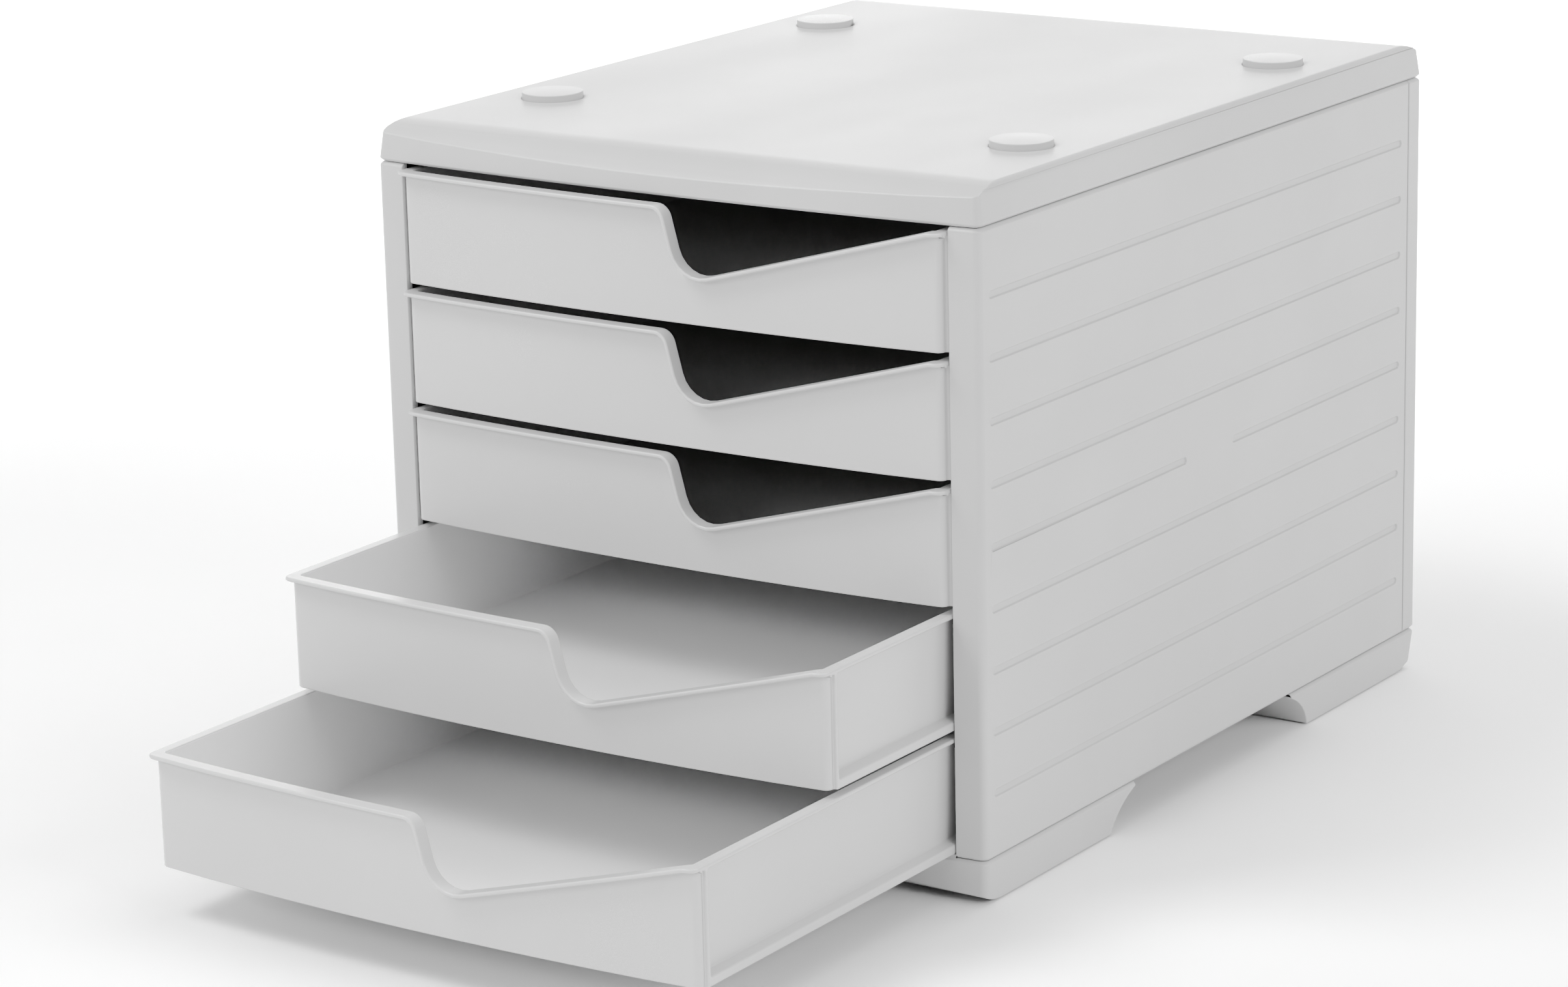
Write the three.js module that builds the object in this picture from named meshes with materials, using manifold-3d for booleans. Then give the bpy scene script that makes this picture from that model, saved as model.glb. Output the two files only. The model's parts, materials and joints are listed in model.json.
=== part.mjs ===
// Desktop file drawer box: a light grey moulded casing on a footed base, five sheet-size
// drawers with a finger scoop in their bowed fronts, and four stacking buttons on the cover.
// Units are millimetres and +Z is up. The drawers open towards -Y, and the two lowest are
// shown pulled out. Sizes below are in the casing's own frame: x runs from its middle, y from
// its front corners to the rear, and z from the surface that it stands on.

import * as THREE from 'three';
import { mergeVertices } from 'three/addons/utils/BufferGeometryUtils.js';
import Module from 'manifold-3d';

const wasm = await Module();
wasm.setup();

// Casing
const casingWidth = 285;
const casingDepth = 360;
const frontBow = 5.3;
const cornerRadius = 3;
const rearCornerRadius = 2;
const skin = 2.5;
const fitGap = 0.3;
const overrun = 1;

// Heights of the three tiers that stack up to the casing
const baseTop = 18.6;
const wallHeight = 247.5;
const coverHeight = 15.5;
const seamChamfer = 1.1;
const lean = 1.6;

// Rounded front and rear edges, where the cover's top and the base's underside roll away
const coverRollLength = 18;
const coverRollDrop = 4.6;
const baseRollLength = 14;
const baseRollDrop = 4.2;
const sideEdgeRadius = 2;

// Front posts, which are the walls' front ends turned inward, and the rear panel
const postWidth = 13.2;
const postPlate = 2.8;
const rearStrip = 11;
const rearSeamChamfer = 0.5;

// Decorative grooves along each side wall
const grooveCount = 9;
const grooveMargin = 26.15;
const grooveHeight = 2.8;
const grooveDepth = 0.7;
const grooveInset = 6.7;
const grooveBreak = 38;

// Base
const padProud = 0.6;
const padRadius = 7;
const padThickness = 2;
const padBossWall = 1.8;
const padFromSide = 21;
const padFromEnd = 34;
const footLength = 97.2;
const footWidth = 45;
const archReach = 16.8;
const archHeight = 16.6;
const archBend = { reachShare: 0.2, heightShare: 0.66 };
const baseSkin = 2.2;
const floorThickness = 3;
const floorStep = 1.2;

// Stacking buttons
const buttonFromSide = 29.5;
const buttonFromEnd = 79;
const buttonRadius = 12.6;
const buttonRise = 3;
const buttonDome = 0.35;
const buttonCrownShare = 0.5;
const buttonEdgeRadius = 0.35;
const buttonSeat = 0.6;
const stemRadius = 4;
const stemBarb = 0.7;
const stemLength = 5.2;
const stemClearance = 0.3;

// Drawers, stacked between the base and the cover with a gap between each and the next
const drawerCount = 5;
const drawerLift = 1.6;
const drawerGap = 3.1;
const drawerHeadroom = 2;
const drawerBow = 7;
const sideClearance = 0.5;
const sideDraft = 1.5;
const drawerWall = 2.2;
const drawerFloor = 2;
const faceProud = 1.5;
const faceThickness = 2.2;
const faceReturn = 1.5;
const faceInset = 1.5;
const faceCornerRadius = 3;
const shoulderStep = 3.3;
const shoulderThickness = 1.7;
const rimWidth = 5;
const rimThickness = 1.8;
const ledgeHeight = 3.6;
const ledgeRise = 1.6;
const rearClearance = 0.8;
const lipForward = 4;
const lipThickness = 1.6;
const drawerTravel = 240;
const openings = [0, 0, 0, 80.8, 165.1];

// Top edge of a drawer front: level, down into the finger scoop, and up in a straight line
const scoopBend = 6.5;
const scoopLow = 14.4;
const scoopSill = 16.8;
const scoopRise = 123.3;
const scoopBendRadius = 6.5;
const scoopLowRadius = 13;

// Runner panels, which carry the drawers by their rims
const runnerThickness = 2;
const railWidth = 2.6;
const railThickness = 2.5;
const railClearance = 0.4;
const stopTabLength = 6;
const stopTabHeight = 8;
const stopTabReach = 2.3;
const tabInset = 1;
const stopClearance = 0.5;

// Screws that hold the runner panels to the side walls
const screwRadius = 1.3;
const screwHeadRadius = 2.9;
const screwHeadDepth = 1.5;
const screwLength = 8;
const screwSlack = 0.3;
const bossRadius = 4;
const screwFromEnds = 60;
const screwDrawers = [0, 3];
const screwBelowRail = 13;

// How finely the round stretches are drawn
const bowSteps = 12;
const cornerSteps = 4;
const rollSteps = 6;
const scoopSteps = 6;
const grooveEndSteps = 5;
const lathe = { button: 28, pad: 20, screw: 12 };

// Sizes worked out from the ones above
const halfWidth = casingWidth / 2;
const halfDepth = casingDepth / 2;
const wallTop = baseTop + wallHeight;
const coverTop = wallTop + coverHeight;
const openingHalf = halfWidth - postWidth;
const rearSeam = casingDepth - rearStrip;
const innerSkin = halfWidth - skin;
const panelInner = casingDepth - skin;
const halfGap = fitGap / 2;
const groundSlack = overrun + overrun;
const drawerHalf = openingHalf - sideClearance;
const cavityHalf = drawerHalf - rimWidth;
const tubHalf = cavityHalf + drawerWall;
const wallMiddle = tubHalf - drawerWall / 2;
const faceHalf = drawerHalf - faceInset;
const drawerRear = panelInner - rearClearance;
const tabRear = drawerRear - tabInset;
const runnerOuter = openingHalf + runnerThickness;
const runnerFront = postPlate + fitGap;
const buttonX = halfWidth - buttonFromSide;
const buttonYs = [buttonFromEnd, casingDepth - buttonFromEnd];
const padX = halfWidth - padFromSide;
const padYs = [padFromEnd, casingDepth - padFromEnd];
const drawerPitch = (wallHeight - drawerLift - drawerHeadroom + drawerGap) / drawerCount;
const drawerHeight = drawerPitch - drawerGap;
const drawerBottom = (index) => baseTop + drawerLift + (drawerCount - 1 - index) * drawerPitch;
const railTop = (index) => drawerBottom(index) + drawerHeight - rimThickness - railClearance;
const widest = Math.max(...openings);
const frontmost = -drawerBow - faceProud - lipForward - widest;
const casingShift = -(frontmost + casingDepth) / 2;

const plastic = (color, roughness) => new THREE.MeshStandardMaterial({ color, roughness, metalness: 0 });
const shellGrey = plastic(0xc9c9c9, 0.5);
const drawerGrey = plastic(0xcbcbcb, 0.42);
const buttonGrey = plastic(0xd4d4d4, 0.25);
const runnerBlack = plastic(0x141414, 0.6);
const rubberGrey = plastic(0x55575a, 0.85);
const steel = new THREE.MeshStandardMaterial({ color: 0xa9abae, roughness: 0.35, metalness: 1 });

const point = (x, y) => new THREE.Vector2(x, y);

// A closed three.js geometry as a solid that can be cut and joined
function solid(geometry) {
  geometry.deleteAttribute('normal');
  geometry.deleteAttribute('uv');
  const merged = mergeVertices(geometry);
  return new wasm.Manifold(new wasm.Mesh({
    numProp: 3,
    vertProperties: merged.attributes.position.array,
    triVerts: Uint32Array.from(merged.index.array),
  }));
}

function geometryOf(body) {
  const { vertProperties, triVerts } = body.getMesh();
  const geometry = new THREE.BufferGeometry();
  geometry.setAttribute('position', new THREE.BufferAttribute(Float32Array.from(vertProperties), 3));
  geometry.setIndex(new THREE.BufferAttribute(Uint32Array.from(triVerts), 1));
  return geometry;
}

const join = (...bodies) => bodies.reduce((sum, body) => sum.add(body));
const cut = (body, ...tools) => tools.reduce((rest, tool) => rest.subtract(tool), body);
const mirrored = (body) => [body, body.mirror([1, 0, 0])];
const moved = (body, x, y, z) => body.translate([x, y, z]);

function block(x0, x1, y0, y1, z0, z1) {
  const box = new THREE.BoxGeometry(x1 - x0, y1 - y0, z1 - z0);
  return solid(box.translate((x0 + x1) / 2, (y0 + y1) / 2, (z0 + z1) / 2));
}

function extrusion(points, depth) {
  return new THREE.ExtrudeGeometry(new THREE.Shape(points), { depth, bevelEnabled: false });
}

// An outline in x and y carried up from z0 to z1
const upright = (points, z0, z1) => solid(extrusion(points, z1 - z0).translate(0, 0, z0));

// An outline in x and z carried back from y0 to y1
const backward = (points, y0, y1) =>
  solid(extrusion(points, y1 - y0).rotateX(Math.PI / 2).translate(0, y1, 0));

// An outline in y and z carried across from x0 to x1
function across(points, x0, x1) {
  const axes = new THREE.Matrix4().makeBasis(
    new THREE.Vector3(0, 1, 0), new THREE.Vector3(0, 0, 1), new THREE.Vector3(1, 0, 0));
  return solid(extrusion(points, x1 - x0).applyMatrix4(axes).translate(x0, 0, 0));
}

// A body turned about z from a profile of radius and height
function turned(profile, steps) {
  return solid(new THREE.LatheGeometry(profile, steps).rotateX(Math.PI / 2));
}

function roundPoints(x, y, radius, from, to, steps) {
  return Array.from({ length: steps + 1 }, (_, i) => {
    const angle = from + (to - from) * (i / steps);
    return point(x + radius * Math.cos(angle), y + radius * Math.sin(angle));
  });
}

// The line of a front that bows out by its rise in the middle: y of the front at x
function bowAt(x, rise) {
  const radius = (halfWidth ** 2 + rise ** 2) / (rise + rise);
  return radius - rise - Math.sqrt(radius ** 2 - x ** 2);
}

function bowPoints(from, to, offset, rise) {
  return Array.from({ length: bowSteps + 1 }, (_, i) => {
    const x = from + (to - from) * (i / bowSteps);
    return point(x, bowAt(x, rise) + offset);
  });
}

// A drawer's slab between two bowed lines, with its front corners rounded
function bowedSlab(half, front, back, radius, z0, z1) {
  const inner = half - radius;
  const side = bowAt(half, drawerBow) + front + radius;
  const quarter = Math.PI / 2;
  const right = roundPoints(inner, side, radius, -quarter, 0, cornerSteps);
  const left = roundPoints(-inner, side, radius, Math.PI, Math.PI + quarter, cornerSteps);
  const outline = [...left, ...bowPoints(-inner, inner, front, drawerBow).slice(1, -1), ...right,
    ...bowPoints(half, -half, back, drawerBow)];
  return upright(outline, z0, z1);
}

// The casing's outline in plan, bowed in front and square behind
function planOutline() {
  const inner = halfWidth - cornerRadius;
  const rear = halfWidth - rearCornerRadius;
  const rearY = casingDepth - rearCornerRadius;
  const quarter = Math.PI / 2;
  return [
    ...roundPoints(-inner, cornerRadius, cornerRadius, Math.PI, Math.PI + quarter, cornerSteps),
    ...bowPoints(-inner, inner, 0, frontBow).slice(1, -1),
    ...roundPoints(inner, cornerRadius, cornerRadius, -quarter, 0, cornerSteps),
    ...roundPoints(rear, rearY, rearCornerRadius, 0, quarter, cornerSteps),
    ...roundPoints(-rear, rearY, rearCornerRadius, quarter, Math.PI, cornerSteps),
  ];
}

// The plan carried up from z0 to z1, drawn in by one inset at the bottom and another on top
function tier(z0, z1, bottomInset, topInset) {
  const geometry = extrusion(planOutline(), z1 - z0);
  const places = geometry.attributes.position;
  for (let i = 0; i < places.count; i += 1) {
    const inset = places.getZ(i) > 0 ? topInset : bottomInset;
    const y = (places.getY(i) - halfDepth) * (1 - inset / halfDepth) + halfDepth;
    places.setXYZ(i, places.getX(i) * (1 - inset / halfWidth), y, places.getZ(i));
  }
  return solid(geometry.translate(0, 0, z0));
}

// One rolled end of a side profile: from the flat at height z to the drop at the casing's
// end and a little past it. The direction is -1 in front and 1 behind.
function rollPoints(end, direction, length, drop, z, downward) {
  const radius = (length ** 2 + drop ** 2) / (2 * drop);
  const reach = length + frontBow + overrun;
  return Array.from({ length: rollSteps + 1 }, (_, i) => {
    const along = reach * (i / rollSteps);
    const fall = radius - Math.sqrt(radius ** 2 - along ** 2);
    return point(end - direction * (length - along), z + downward * fall);
  });
}

function coverProfile() {
  const bottom = wallTop - groundSlack;
  return [
    ...rollPoints(0, -1, coverRollLength, coverRollDrop, coverTop, -1),
    point(-frontBow - groundSlack, bottom),
    point(casingDepth + frontBow + groundSlack, bottom),
    ...rollPoints(casingDepth, 1, coverRollLength, coverRollDrop, coverTop, -1).reverse(),
  ];
}

// The cover's section from the front, which rounds the long top edges
function coverSection(inset) {
  const half = halfWidth - lean + (lean * sideEdgeRadius) / coverHeight - inset;
  const top = coverTop - inset;
  const quarter = Math.PI / 2;
  const x = half - sideEdgeRadius;
  const z = top - sideEdgeRadius;
  const low = wallTop - groundSlack;
  return [
    point(halfWidth + overrun, low), point(halfWidth + overrun, z - sideEdgeRadius),
    ...roundPoints(x, z, sideEdgeRadius, 0, quarter, cornerSteps),
    ...roundPoints(-x, z, sideEdgeRadius, quarter, Math.PI, cornerSteps),
    point(-halfWidth - overrun, z - sideEdgeRadius), point(-halfWidth - overrun, low),
  ];
}

function topCover() {
  const bottom = wallTop + halfGap;
  const shoulder = bottom + seamChamfer;
  const outer = join(tier(bottom, shoulder, seamChamfer, 0), tier(shoulder, coverTop, 0, lean))
    .intersect(across(coverProfile(), -halfWidth - overrun, halfWidth + overrun))
    .intersect(backward(coverSection(0), -frontBow - overrun, casingDepth + overrun));
  const roof = coverTop - skin;
  const inward = lean + skin;
  const hollow = tier(bottom - overrun, roof, skin + seamChamfer, inward)
    .intersect(moved(across(coverProfile(), -halfWidth, halfWidth), 0, 0, -skin));
  const high = coverTop + overrun;
  const seat = coverTop - buttonSeat;
  const holeRadius = stemRadius + stemClearance;
  const holes = buttonSpots((x, y) => disc(x, y, holeRadius, roof - overrun, high, lathe.pad));
  const seats = buttonSpots((x, y) => disc(x, y, buttonRadius + fitGap, seat, high, lathe.button));
  return cut(outer, hollow, ...holes, ...seats);
}

function buttonSpots(make) {
  return buttonYs.flatMap((y) => [-buttonX, buttonX].map((x) => make(x, y)));
}

// The curve where the front foot ends and the arch between the feet begins
function archPoints() {
  const foot = point(footLength, padProud);
  const bend = point(footLength + archReach * archBend.reachShare, archHeight * archBend.heightShare);
  const top = point(footLength + archReach, archHeight);
  return new THREE.QuadraticBezierCurve(foot, bend, top).getPoints(rollSteps);
}

// The front foot from the side: its rolled front end, its flat underside and the start of the
// arch. An inset draws it in for the hollow, whose ends are straight.
function footProfile(inset, bottom, top) {
  const front = rollPoints(inset, -1, baseRollLength, baseRollDrop, bottom, 1).reverse();
  const arch = inset > 0 ? [point(footLength - inset, bottom)] : archPoints();
  return [...front, ...arch, point(arch.at(-1).x, top), point(-frontBow - groundSlack, top)];
}

function bothFeet(inset, bottom, top) {
  const front = footProfile(inset, bottom, top);
  const rear = front.map((p) => point(casingDepth - p.x, p.y)).reverse();
  const width = halfWidth + overrun;
  return join(across(front, -width, width), across(rear, -width, width));
}

function base() {
  const top = baseTop - halfGap;
  const shoulder = top - seamChamfer;
  const width = halfWidth + overrun;
  const outer = join(tier(padProud, shoulder, lean, 0), tier(shoulder, top, 0, seamChamfer))
    .intersect(bothFeet(0, padProud, top + overrun));
  const roof = top - baseSkin;
  const inner = tier(padProud - overrun, roof, lean + baseSkin, baseSkin)
    .intersect(bothFeet(baseSkin, padProud - overrun, roof + overrun));
  const footInner = halfWidth - footWidth;
  const reach = [-frontBow - overrun, casingDepth + overrun];
  const heights = [padProud - overrun, top + overrun];
  const middle = block(-footInner, footInner, ...reach, ...heights);
  const pocketZone = join(...mirrored(block(footInner + baseSkin, width, ...reach, ...heights)));
  const feet = cut(outer, middle, pocketZone.intersect(inner));
  const skirts = cut(outer.intersect(middle), inner,
    block(-width, width, skin + baseRollLength, casingDepth - skin - baseRollLength, ...heights));
  const floorZ = baseTop + drawerLift - railClearance;
  const floor = upright([...bowPoints(-drawerHalf, drawerHalf, floorStep, frontBow),
    point(drawerHalf, panelInner - fitGap), point(-drawerHalf, panelInner - fitGap)],
  floorZ - floorThickness, floorZ);
  const pads = padSpots((x, y) => disc(x, y, padRadius + padBossWall, padProud, roof + overrun, lathe.pad));
  const body = join(feet, skirts, floor, ...pads);
  const padHoles = padSpots((x, y) => disc(x, y, padRadius + fitGap, 0, padThickness + fitGap, lathe.pad));
  return cut(body.intersect(join(outer, floor)), ...padHoles);
}

function disc(x, y, radius, z0, z1, steps) {
  return upright(roundPoints(x, y, radius, 0, 2 * Math.PI, steps).slice(1), z0, z1);
}

function padSpots(make) {
  return padYs.flatMap((y) => [-padX, padX].map((x) => make(x, y)));
}

function pad() {
  const profile = [point(0, 0), point(padRadius, 0), point(padRadius, padThickness),
    point(0, padThickness)];
  return turned(profile, lathe.pad);
}

// The space between the seams, with both its rims chamfered
function wallTier() {
  const bottom = baseTop + halfGap;
  const top = wallTop - halfGap;
  return join(tier(bottom, bottom + seamChamfer, seamChamfer, 0),
    tier(bottom + seamChamfer, top - seamChamfer, 0, 0), tier(top - seamChamfer, top, 0, seamChamfer));
}

// The narrow V along the vertical seams behind
function rearSeamCut() {
  const c = rearSeamChamfer;
  const diamond = [point(halfWidth - c, rearSeam), point(halfWidth, rearSeam - c),
    point(halfWidth + c, rearSeam), point(halfWidth, rearSeam + c)];
  return upright(diamond, 0, coverTop);
}

// A groove in the right wall's outer face, from y0 to y1, with round ends
function groove(y0, y1, z) {
  const radius = grooveHeight / 2;
  const quarter = Math.PI / 2;
  const outline = [
    ...roundPoints(y1 - radius, z, radius, -quarter, quarter, grooveEndSteps),
    ...roundPoints(y0 + radius, z, radius, quarter, 3 * quarter, grooveEndSteps),
  ];
  return across(outline, halfWidth - grooveDepth, halfWidth + overrun);
}

// Nine grooves, the middle one broken at its centre
function grooves() {
  const pitch = (wallHeight - grooveMargin * 2) / (grooveCount - 1);
  const front = grooveInset;
  const rear = rearSeam - grooveInset;
  const centre = (front + rear) / 2;
  return Array.from({ length: grooveCount }, (_, i) => {
    const z = baseTop + grooveMargin + i * pitch;
    if (i !== (grooveCount - 1) / 2) return [groove(front, rear, z)];
    return [groove(front, centre - grooveBreak / 2, z), groove(centre + grooveBreak / 2, rear, z)];
  }).flat();
}

const screwYs = [screwFromEnds, rearSeam - screwFromEnds];
const screwZs = screwDrawers.map((index) => railTop(index) - railThickness - screwBelowRail);
const screwSpots = (make) => screwYs.flatMap((y) => screwZs.map((z) => make(y, z)));

function bossCylinder(y, z, radius, x0, x1) {
  return across(roundPoints(y, z, radius, 0, 2 * Math.PI, lathe.screw).slice(1), x0, x1);
}

// The right side wall: its skin, the front post and the screw bosses
function sideWall(tierBody, bosses) {
  const reach = [baseTop - overrun, wallTop + overrun];
  const side = block(openingHalf, halfWidth + overrun, -frontBow - overrun, rearSeam - halfGap, ...reach);
  const behindPost = block(openingHalf - overrun, innerSkin, postPlate, casingDepth, ...reach);
  const shell = cut(tierBody.intersect(side), behindPost, rearSeamCut(), ...grooves());
  return cut(join(shell, ...bosses.map((spot) => spot.boss)), ...bosses.map((spot) => spot.hole));
}

function wallBosses() {
  return screwSpots((y, z) => ({
    boss: bossCylinder(y, z, bossRadius, runnerOuter + fitGap, innerSkin + halfGap),
    hole: bossCylinder(y, z, screwRadius + screwSlack, runnerOuter, innerSkin),
  }));
}

function backPanel(tierBody) {
  const reach = [baseTop - overrun, wallTop + overrun];
  const behind = block(-halfWidth - overrun, halfWidth + overrun, rearSeam + halfGap,
    casingDepth + overrun, ...reach);
  const inside = block(-innerSkin, innerSkin, 0, panelInner, ...reach);
  return cut(tierBody.intersect(behind), inside, ...mirrored(rearSeamCut()));
}

// The right runner panel, with a rail under each drawer's rim and a stop for its rear tab
function runnerPanel() {
  const rear = panelInner - fitGap;
  const sheet = block(openingHalf, runnerOuter, runnerFront, rear, baseTop + halfGap, wallTop - halfGap);
  const rails = openings.map((_, index) => {
    const top = railTop(index);
    const inner = openingHalf - railWidth;
    const stopTop = top - railThickness;
    const stopRear = tabRear - stopTabLength - drawerTravel - stopClearance;
    const rail = block(inner, openingHalf + halfGap, runnerFront, rear, stopTop, top);
    const stop = block(inner, openingHalf + halfGap, stopRear - stopTabLength, stopRear,
      stopTop - stopTabHeight, stopTop + halfGap);
    return join(rail, stop);
  });
  return cut(join(sheet, ...rails), ...screwSpots(countersink));
}

// The hole for a runner screw, with the cone that its head sits in
function countersink(y, z) {
  const wide = screwHeadRadius + screwSlack;
  const narrow = screwRadius + screwSlack;
  const end = runnerThickness + overrun;
  const profile = [point(0, -overrun), point(wide, -overrun), point(wide, 0),
    point(narrow, screwHeadDepth), point(narrow, end), point(0, end)];
  return moved(sideways(profile), openingHalf, y, z);
}

// A body turned about the x axis from a profile of radius and reach
function sideways(profile) {
  return solid(new THREE.LatheGeometry(profile, lathe.screw).rotateZ(-Math.PI / 2));
}

function screw() {
  const tip = screwRadius;
  const profile = [point(0, 0), point(screwHeadRadius, 0), point(screwRadius, screwHeadDepth),
    point(screwRadius, screwLength - tip), point(0, screwLength)];
  return sideways(profile);
}

// A low round button with a domed top, and a barbed stem that clips through the cover
function button() {
  const edge = buttonRadius - buttonEdgeRadius;
  const shoulder = buttonRise - buttonDome;
  const rim = roundPoints(edge, shoulder - buttonEdgeRadius, buttonEdgeRadius, 0, Math.PI / 2, cornerSteps);
  const barb = stemRadius + stemBarb;
  const skinEnd = -skin - fitGap;
  const underside = fitGap - buttonSeat;
  const profile = [
    point(0, -stemLength), point(stemRadius - stemBarb, -stemLength), point(barb, skinEnd - stemBarb),
    point(barb, skinEnd), point(stemRadius, skinEnd), point(stemRadius, underside),
    point(buttonRadius, underside), ...rim,
    point(edge * buttonCrownShare, buttonRise - buttonDome * buttonCrownShare ** 2),
    point(0, buttonRise),
  ];
  return turned(profile, lathe.button);
}

// Rounds the corners of a path of points, each by its own radius
function roundedPath(corners, radii, steps) {
  return corners.flatMap((corner, i) => {
    if (radii[i] === 0) return [corner];
    const toPrevious = corners[i - 1].clone().sub(corner).normalize();
    const toNext = corners[i + 1].clone().sub(corner).normalize();
    const half = Math.acos(toPrevious.dot(toNext)) / 2;
    const reach = radii[i] / Math.tan(half);
    const start = corner.clone().addScaledVector(toPrevious, reach);
    const end = corner.clone().addScaledVector(toNext, reach);
    const middle = toPrevious.clone().add(toNext).normalize();
    const centre = corner.clone().addScaledVector(middle, radii[i] / Math.sin(half));
    const from = start.sub(centre).angle();
    const turn = end.sub(centre).angle() - from;
    const sweep = Math.atan2(Math.sin(turn), Math.cos(turn));
    return roundPoints(centre.x, centre.y, radii[i], from, from + sweep, steps);
  });
}

// A path moved to its right-hand side by a distance
function sidePath(path, distance) {
  return path.map((p, i) => {
    const before = path[Math.max(i - 1, 0)];
    const after = path[Math.min(i + 1, path.length - 1)];
    const along = after.clone().sub(before).normalize();
    return point(p.x + along.y * distance, p.y - along.x * distance);
  });
}

// The top edge of a drawer front, from left to right, under a rim whose top is given
function scoopPath(top) {
  const end = drawerHalf + overrun;
  const low = top - drawerHeight + scoopSill;
  const corners = [point(-end, top), point(scoopBend, top), point(scoopLow, low),
    point(scoopRise, top), point(end, top)];
  return roundedPath(corners, [0, scoopBendRadius, scoopLowRadius, 0, 0], scoopSteps);
}

// A drawer's tub or the space in it, whose sides lean in towards the bottom
function tapered(half, front, rear, z0, z1, top) {
  const outline = [...bowPoints(-half, half, front, drawerBow), point(half, rear), point(-half, rear)];
  const geometry = extrusion(outline, z1 - z0);
  const places = geometry.attributes.position;
  for (let i = 0; i < places.count; i += 1) {
    const inset = sideDraft * ((top - z0 - places.getZ(i)) / drawerHeight);
    places.setX(i, places.getX(i) * (1 - inset / half));
  }
  return solid(geometry.translate(0, 0, z0));
}

// The shoulder that fills the opening beside the face, a step behind it
function shoulder(face, z, top) {
  const front = face + shoulderStep;
  return upright([...bowPoints(-drawerHalf, drawerHalf, front, drawerBow),
    ...bowPoints(drawerHalf, -drawerHalf, front + shoulderThickness, drawerBow)], z, top);
}

// The bead along the foot of a drawer's right side, with its sloping top
function sideLedge(front, z) {
  const inner = wallMiddle - sideDraft;
  const section = [point(inner, z), point(drawerHalf, z), point(drawerHalf, z + ledgeHeight),
    point(inner, z + ledgeHeight + ledgeRise)];
  return backward(section, front, tabRear);
}

// A drawer, closed in the casing, with its underside at height z
function drawer(z) {
  const top = z + drawerHeight;
  const face = -faceProud;
  const wallBack = face + faceThickness;
  const wallCentre = face + faceThickness / 2;
  const corner = bowAt(drawerHalf, drawerBow);
  const tub = tapered(tubHalf, wallCentre, drawerRear, z, top, top);
  const high = top + overrun;
  const cavity = tapered(cavityHalf, wallBack, drawerRear - drawerWall, z + drawerFloor, high, top);
  const front = bowedSlab(faceHalf, face, wallBack + faceReturn, faceCornerRadius, z, top);
  const ledge = sideLedge(corner + wallBack + faceReturn, z);
  const rimFront = corner + (face + wallCentre) / 2;
  const rim = block(wallMiddle, drawerHalf, rimFront, drawerRear, top - rimThickness, top);
  const tab = block(tubHalf - overrun, tubHalf + stopTabReach, tabRear - stopTabLength, tabRear,
    ...stopTabHeights(top));
  const shell = cut(join(tub, front, shoulder(face, z, top)), cavity);
  const box = join(shell, ...mirrored(ledge), ...mirrored(rim), ...mirrored(tab));
  const path = scoopPath(top);
  const reach = [-drawerBow - faceProud - lipForward - overrun, wallBack + shoulderStep + overrun];
  const upTo = (points) => backward([...points, point(drawerHalf + overrun, high),
    point(-drawerHalf - overrun, high)], ...reach);
  const lip = bowedSlab(drawerHalf, face - lipForward, wallCentre, lipForward, z, top)
    .intersect(upTo(sidePath(path, lipThickness)));
  return cut(join(box, lip), upTo(path));
}

function stopTabHeights(top) {
  const high = top - rimThickness - railClearance - railThickness - railClearance;
  return [high - stopTabHeight + railClearance, high];
}

const group = new THREE.Group();
group.position.y = casingShift;

function add(name, body, material, x = 0, y = 0, z = 0) {
  const mesh = new THREE.Mesh(geometryOf(body), material);
  mesh.name = name;
  mesh.position.set(x, y, z);
  group.add(mesh);
}

const walls = wallTier();
const rightWall = sideWall(walls, wallBosses());
const rightRunner = runnerPanel();

add('base', base(), shellGrey);
add('side_wall_right', rightWall, shellGrey);
add('side_wall_left', rightWall.mirror([1, 0, 0]), shellGrey);
add('back_panel', backPanel(walls), shellGrey);
add('top_cover', topCover(), shellGrey);
add('runner_panel_right', rightRunner, runnerBlack);
add('runner_panel_left', rightRunner.mirror([1, 0, 0]), runnerBlack);

openings.forEach((open, index) => {
  add(`drawer_${index + 1}`, drawer(drawerBottom(index)), drawerGrey, 0, -open);
});

const sides = ['left', 'right'];
const ends = ['front', 'rear'];
const spotNames = ends.flatMap((end) => sides.map((side) => `${end}_${side}`));
buttonSpots((x, y) => [x, y]).forEach(([x, y], i) => {
  add(`stacking_button_${spotNames[i]}`, button(), buttonGrey, x, y, coverTop);
});
padSpots((x, y) => [x, y]).forEach(([x, y], i) => {
  add(`foot_pad_${spotNames[i]}`, pad(), rubberGrey, x, y, 0);
});

const screwNames = ends.flatMap((end) => ['upper', 'lower'].map((level) => `${end}_${level}`));
screwSpots((y, z) => [y, z]).forEach(([y, z], i) => {
  const seat = openingHalf + screwSlack / 2;
  add(`runner_screw_right_${screwNames[i]}`, screw(), steel, seat, y, z);
  add(`runner_screw_left_${screwNames[i]}`, screw().mirror([1, 0, 0]), steel, -seat, y, z);
});

export default group;
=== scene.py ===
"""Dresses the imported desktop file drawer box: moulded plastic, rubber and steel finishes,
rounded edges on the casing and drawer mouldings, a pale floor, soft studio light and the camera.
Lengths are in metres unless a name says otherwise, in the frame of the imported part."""

import json
import math

import bmesh
import bpy
from mathutils import Matrix, Vector


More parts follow.
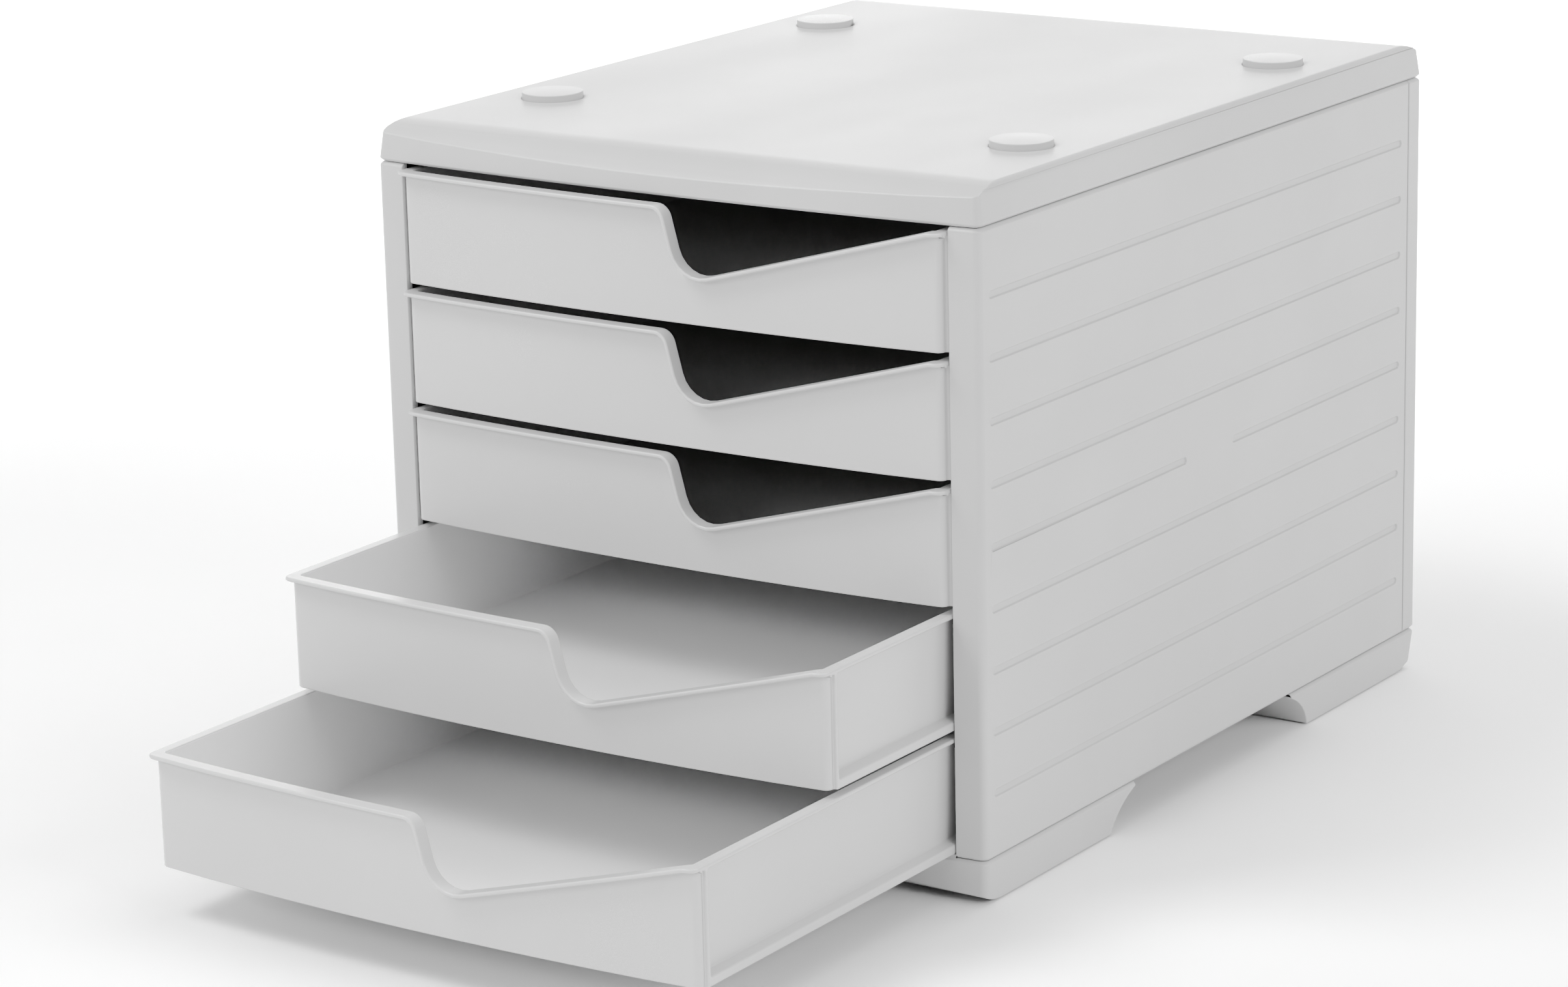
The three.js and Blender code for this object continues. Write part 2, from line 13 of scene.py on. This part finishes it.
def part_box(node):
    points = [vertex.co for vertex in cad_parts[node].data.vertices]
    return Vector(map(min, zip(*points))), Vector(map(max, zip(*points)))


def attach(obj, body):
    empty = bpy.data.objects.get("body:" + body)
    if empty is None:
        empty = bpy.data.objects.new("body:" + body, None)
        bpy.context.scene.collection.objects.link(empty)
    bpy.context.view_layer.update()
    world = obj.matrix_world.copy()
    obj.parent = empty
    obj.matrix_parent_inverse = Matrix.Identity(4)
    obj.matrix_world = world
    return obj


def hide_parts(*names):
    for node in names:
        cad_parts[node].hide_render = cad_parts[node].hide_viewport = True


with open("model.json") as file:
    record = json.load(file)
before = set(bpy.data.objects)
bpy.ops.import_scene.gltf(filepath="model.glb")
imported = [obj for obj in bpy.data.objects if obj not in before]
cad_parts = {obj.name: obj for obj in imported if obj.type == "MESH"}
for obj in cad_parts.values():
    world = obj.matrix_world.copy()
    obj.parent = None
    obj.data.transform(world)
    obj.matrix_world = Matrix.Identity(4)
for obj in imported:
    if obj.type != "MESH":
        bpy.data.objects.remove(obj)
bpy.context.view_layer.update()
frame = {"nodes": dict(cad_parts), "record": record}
nodes = frame["nodes"]
body_of = {n: b for b, members in frame["record"]["behaviour"]["bodies"].items() for n in members}
slot_of = {s["node"]: s["material_slot"] for s in frame["record"]["subparts"]}

MM = 0.001
WHITE = (1, 1, 1, 1)
PLASTIC_IOR = 1.5
FLOW = (1, 0.25, 1)
ALONG_SCREW = (0.2, 1, 1)
ALL_CHANNELS = 3
TONES = ((0.016, 0.008), (0.176, 0.275), (0.568, 0.585), (0.82, 0.81))
COLOUR_A, COLOUR_B, COLOUR_OUT = 6, 7, 2
FACING = 0.5
TRAY_MARGIN_MM = 4.5
FLOOR_BAND_MM = 3
FRONT_BAND_MM = 20
REAR_BAND_MM = 4
WELD_MM = 0.04
FLAT_DEG = 0.15
EDGE_DEG = 28
BUTTON_EDGE_DEG = 40
BEVEL_STEPS = 3
FACE_WEIGHT = 60
ROUNDING_MM = {"casing": 0.4, "drawer": 0.6}


# Materials.

def linear(value):
    """A colour share as the eye sees it, turned to scene light."""
    return value / 12.92 if value <= 0.04045 else ((value + 0.055) / 1.055) ** 2.4


class Finish:
    """A node material with helpers that keep the graphs below short."""

    def __init__(self, name):
        self.material = bpy.data.materials.new(name)
        self.material.use_nodes = True
        self.tree = self.material.node_tree
        self.shader = self.tree.nodes["Principled BSDF"]
        self.place = self.node("ShaderNodeTexCoord").outputs["Object"]

    def node(self, kind, **values):
        made = self.tree.nodes.new(kind)
        for key, value in values.items():
            setattr(made, key, value)
        return made

    def link(self, start, end):
        self.tree.links.new(start, end)

    def stretched(self, scale):
        mapping = self.node("ShaderNodeMapping")
        mapping.inputs["Scale"].default_value = scale
        self.link(self.place, mapping.inputs["Vector"])
        return mapping.outputs["Vector"]

    def noise(self, scale, detail=2.0, rough=0.5, place=None):
        made = self.node("ShaderNodeTexNoise")
        made.inputs["Scale"].default_value = scale
        made.inputs["Detail"].default_value = detail
        made.inputs["Roughness"].default_value = rough
        self.link(place or self.place, made.inputs["Vector"])
        return made.outputs["Fac"]

    def spread(self, source, low, high, from_low=0.35, from_high=0.65):
        made = self.node("ShaderNodeMapRange")
        ends = {"From Min": from_low, "From Max": from_high, "To Min": low, "To Max": high}
        for key, value in ends.items():
            made.inputs[key].default_value = value
        self.link(source, made.inputs["Value"])
        return made.outputs["Result"]

    def sum(self, a, b, share):
        made = self.node("ShaderNodeMath", operation="MULTIPLY_ADD")
        made.inputs[1].default_value = share
        self.link(a, made.inputs[0])
        self.link(b, made.inputs[2])
        return made.outputs["Value"]

    def colour(self, share, low, high):
        """A neutral grey that wanders between two values as the share does."""
        made = self.node("ShaderNodeMix", data_type="RGBA")
        made.inputs[COLOUR_A].default_value = (*[linear(v) for v in low], 1)
        made.inputs[COLOUR_B].default_value = (*[linear(v) for v in high], 1)
        self.link(share, made.inputs[0])
        self.link(made.outputs[COLOUR_OUT], self.shader.inputs["Base Color"])

    def bump(self, height, distance, strength):
        made = self.node("ShaderNodeBump")
        made.inputs["Distance"].default_value = distance
        made.inputs["Strength"].default_value = strength
        self.link(height, made.inputs["Height"])
        self.link(made.outputs["Normal"], self.shader.inputs["Normal"])


def moulded(name, low, high, roughness, grain, grain_depth, waviness, shine=0.5):
    """Moulded plastic: cloudy colour, a fine spark-eroded grain and the slow swell of a big
    moulding. Scales are per metre, so a grain of 2600 is about 0.4 mm across."""
    cloud_scale, streak_scale, swell_scale = 9, 14, 26
    grain_in_colour, grain_in_gloss, gloss_swing = 0.2, 0.4, 0.035
    finish = Finish(name)
    cloud = finish.noise(cloud_scale, detail=3)
    streak = finish.noise(streak_scale, place=finish.stretched(FLOW))
    fine = finish.noise(grain, rough=0.6)
    mottled = finish.sum(fine, cloud, grain_in_colour)
    finish.colour(finish.spread(mottled, 0, 1, from_low=0.4, from_high=0.75), low, high)
    uneven = finish.sum(fine, streak, grain_in_gloss)
    dull, bright = roughness + gloss_swing, roughness - gloss_swing
    gloss = finish.spread(uneven, bright, dull, from_low=0.5, from_high=0.9)
    finish.link(gloss, finish.shader.inputs["Roughness"])
    swell = finish.noise(swell_scale, detail=1)
    finish.bump(finish.sum(swell, fine, waviness), grain_depth, strength=0.6)
    finish.shader.inputs["IOR"].default_value = PLASTIC_IOR
    finish.shader.inputs["Specular IOR Level"].default_value = shine
    return finish.material


def rubber():
    """Soft grey rubber with a blotched colour and a coarse, dull skin."""
    skin_scale, blotch_scale, skin_depth = 1800, 120, 0.00015
    finish = Finish("pad_rubber")
    fine = finish.noise(skin_scale, detail=3, rough=0.7)
    blotch = finish.spread(finish.noise(blotch_scale, detail=3), 0, 1)
    finish.colour(blotch, low=(0.30, 0.31, 0.32), high=(0.38, 0.39, 0.40))
    finish.link(finish.spread(fine, low=0.78, high=0.95), finish.shader.inputs["Roughness"])
    finish.bump(fine, skin_depth, strength=0.7)
    return finish.material


def steel():
    """Plain steel with the fine marks of its making along the screw."""
    mark_scale, mark_depth = 900, 0.00003
    finish = Finish("screw_steel")
    turned = finish.noise(mark_scale, detail=3, rough=0.6, place=finish.stretched(ALONG_SCREW))
    finish.colour(finish.spread(turned, 0, 1), low=(0.60, 0.61, 0.62), high=(0.74, 0.75, 0.76))
    finish.shader.inputs["Metallic"].default_value = 1
    finish.link(finish.spread(turned, low=0.28, high=0.42), finish.shader.inputs["Roughness"])
    finish.bump(turned, mark_depth, strength=0.5)
    return finish.material


def grey(value):
    return (value, value, value)


coarse = {"grain": 2600, "grain_depth": 0.00006, "waviness": 4}
smooth = {"grain": 3400, "grain_depth": 0.00003, "waviness": 6}
polished = {"grain": 3600, "grain_depth": 0.00001, "waviness": 3, "shine": 0.2}
finishes = {
    "casing": moulded("casing_plastic", grey(0.765), grey(0.785), roughness=0.36, **coarse),
    "drawer": moulded("drawer_plastic", grey(0.79), grey(0.805), roughness=0.24, **smooth),
    # Painted light: the drawer plastic made lighter for the faces inside the trays, standing in
    # for light that fills them.
    "inside": moulded("drawer_tray_painted_light", grey(0.93), grey(0.945), roughness=0.42, **smooth),
    # Painted shade: the runner panels are near black, standing in for the deep shade inside the
    # casing.
    "runner": moulded("runner_painted_shade_black", grey(0.03), grey(0.05), roughness=0.6, **coarse),
    "button": moulded("button_plastic", grey(0.765), grey(0.78), roughness=0.3, **polished),
    "pad": rubber(),
    "screw": steel(),
}


# Rounded mouldings.

def gets_painted_light(face, low, high):
    """Whether a face of a drawer looks into its tray: the floor or the inner side of a wall.
    These faces get painted light, a lighter copy of the drawer plastic.
    """
    normal, spot = face.normal, face.calc_center_median()
    within = abs(spot.x) < high.x - TRAY_MARGIN_MM * MM
    if normal.z > FACING:
        return within and spot.z < low.z + FLOOR_BAND_MM * MM
    if abs(normal.x) > FACING:
        return within and normal.x * spot.x < 0
    if normal.y > FACING:
        return within and spot.y < low.y + FRONT_BAND_MM * MM
    return within and normal.y < -FACING and spot.y > high.y - REAR_BAND_MM * MM


def smooth_copy(node, name, width_mm):
    """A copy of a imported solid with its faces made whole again, its edges rounded and its
    bowed faces shaded as one curve. It stands for the solid."""
    made = bpy.data.objects.new(name, nodes[node].data.copy())
    bpy.context.scene.collection.objects.link(made)
    mesh = bmesh.new()
    mesh.from_mesh(made.data)
    bmesh.ops.remove_doubles(mesh, verts=mesh.verts, dist=WELD_MM * MM)
    bmesh.ops.dissolve_degenerate(mesh, edges=mesh.edges, dist=WELD_MM * MM)
    flat = math.radians(FLAT_DEG)
    bmesh.ops.dissolve_limit(mesh, angle_limit=flat, verts=mesh.verts, edges=mesh.edges)
    made.data.materials.clear()
    made.data.materials.append(finishes[slot_of[node]])
    # Drawers: the faces inside the tray take the lighter painted-light copy of the plastic.
    if slot_of[node] == "drawer":
        made.data.materials.append(finishes["inside"])
        low, high = (Vector(corner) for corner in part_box(node))
        for face in mesh.faces:
            face.material_index = int(gets_painted_light(face, low, high))
    mesh.to_mesh(made.data)
    mesh.free()
    made.data.shade_smooth()
    if width_mm:
        bevel = made.modifiers.new("rounding", "BEVEL")
        bevel.width = width_mm * MM
        bevel.segments = BEVEL_STEPS
        bevel.limit_method = "ANGLE"
        bevel.angle_limit = math.radians(EDGE_DEG)
        bevel.use_clamp_overlap = False
        bevel.miter_outer = "MITER_ARC"
    weighted = made.modifiers.new("shading", "WEIGHTED_NORMAL")
    weighted.weight = FACE_WEIGHT
    weighted.keep_sharp = True
    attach(made, body_of[node])
    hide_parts(node)
    return made


for node in sorted(nodes):
    slot = slot_of[node]
    if slot in ROUNDING_MM:
        smooth_copy(node, node + "_moulding", ROUNDING_MM[slot])
    elif slot == "button":
        piece = smooth_copy(node, node + "_turned", 0)
        piece.data.set_sharp_from_angle(angle=math.radians(BUTTON_EDGE_DEG))
    else:
        nodes[node].data.materials.clear()
        nodes[node].data.materials.append(finishes[slot])


# Floor, light and camera.

def backdrop_profile():
    """The floor's run from front to rear and its curve up the backdrop, as (y, z) places."""
    front, bend, radius, steps, top = -6.0, 2.6, 0.9, 16, 1.5
    quarter = math.pi / 2
    angles = [quarter * i / steps for i in range(1, steps + 1)]
    profile = [(front, 0.0), (bend, 0.0)]
    profile += [(bend + radius * math.sin(a), radius - radius * math.cos(a)) for a in angles]
    profile.append((profile[-1][0], top))
    return profile


def studio_floor():
    """A pale floor that curves up into a low backdrop behind the part."""
    half_width, turn_deg = 9.0, 34
    profile = backdrop_profile()
    mesh = bmesh.new()
    rows = [[mesh.verts.new((x, y, z)) for y, z in profile] for x in (-half_width, half_width)]
    for i in range(len(profile) - 1):
        mesh.faces.new((rows[0][i], rows[1][i], rows[1][i + 1], rows[0][i + 1]))
    data = bpy.data.meshes.new("studio_floor")
    mesh.to_mesh(data)
    mesh.free()
    floor = bpy.data.objects.new("studio_floor", data)
    bpy.context.scene.collection.objects.link(floor)
    data.shade_smooth()
    floor.rotation_euler = (0, 0, math.radians(turn_deg))
    finish = Finish("studio_paper")
    finish.colour(finish.spread(finish.noise(3, 2), 0, 1), grey(0.975), grey(0.985))
    finish.shader.inputs["Roughness"].default_value = 0.95
    finish.shader.inputs["Specular IOR Level"].default_value = 0.1
    data.materials.append(finish.material)


def area_light(name, place, aim, size, power):
    """A rectangular softbox, its size in metres and its power in watts."""
    data = bpy.data.lights.new(name, "AREA")
    data.shape = "RECTANGLE"
    data.size, data.size_y = size
    data.energy = power
    light = bpy.data.objects.new(name, data)
    bpy.context.scene.collection.objects.link(light)
    light.location = place
    light.rotation_euler = (Vector(aim) - Vector(place)).to_track_quat("-Z", "Y").to_euler()


def studio_light():
    fill = 0.38
    middle = (0, 0, 0.15)
    area_light("key_softbox", (-1.0, -0.9, 2.1), middle, (1.1, 1.1), 22)
    area_light("overhead_softbox", (0.5, 0.6, 2.2), middle, (1.8, 1.8), 11)
    area_light("front_softbox", (-0.6, -1.95, 1.06), middle, (2.6, 0.45), 12)
    area_light("side_softbox", (2.1, 0.0, 1.1), middle, (1.8, 0.8), 15)
    area_light("backdrop_light", (-0.8, 1.6, 2.2), (-1.4, 3.4, 0.6), (3.8, 0.8), 95)
    world = bpy.data.worlds.new("studio")
    world.use_nodes = True
    sky = world.node_tree.nodes["Background"]
    sky.inputs["Color"].default_value = WHITE
    sky.inputs["Strength"].default_value = fill
    bpy.context.scene.world = world


def camera():
    """The photograph's viewpoint, found from the casing's corners and the drawers' edges."""
    place = (1.0274, -1.5022, 0.61835)
    lens_mm, sensor_mm = 105.745, 36
    yaw, pitch, roll = (math.radians(a) for a in (34.6394, -15.1691, -1.3734))
    level = math.cos(pitch)
    forward = Vector((-math.sin(yaw) * level, math.cos(yaw) * level, math.sin(pitch)))
    flat_right = Vector((math.cos(yaw), math.sin(yaw), 0))
    flat_up = flat_right.cross(forward)
    right = flat_right * math.cos(roll) + flat_up * math.sin(roll)
    up = flat_up * math.cos(roll) - flat_right * math.sin(roll)
    data = bpy.data.cameras.new("camera")
    data.lens = lens_mm
    data.sensor_width = sensor_mm
    made = bpy.data.objects.new("camera", data)
    bpy.context.scene.collection.objects.link(made)
    turn = Matrix((right, up, -forward)).transposed().to_4x4()
    made.matrix_world = Matrix.Translation(place) @ turn
    bpy.context.scene.camera = made


def tones():
    """The photograph's tones: blacks held down, shades on pale plastic lifted."""
    view = bpy.context.scene.view_settings
    view.view_transform = "Standard"
    view.gamma = 1.18
    view.exposure = -0.12
    view.use_curve_mapping = True
    mapping = view.curve_mapping
    mapping.extend = "EXTRAPOLATED"
    for light_in, light_out in TONES:
        mapping.curves[ALL_CHANNELS].points.new(light_in, light_out)
    mapping.update()


studio_floor()
studio_light()
camera()
tones()

bpy.context.view_layer.update()
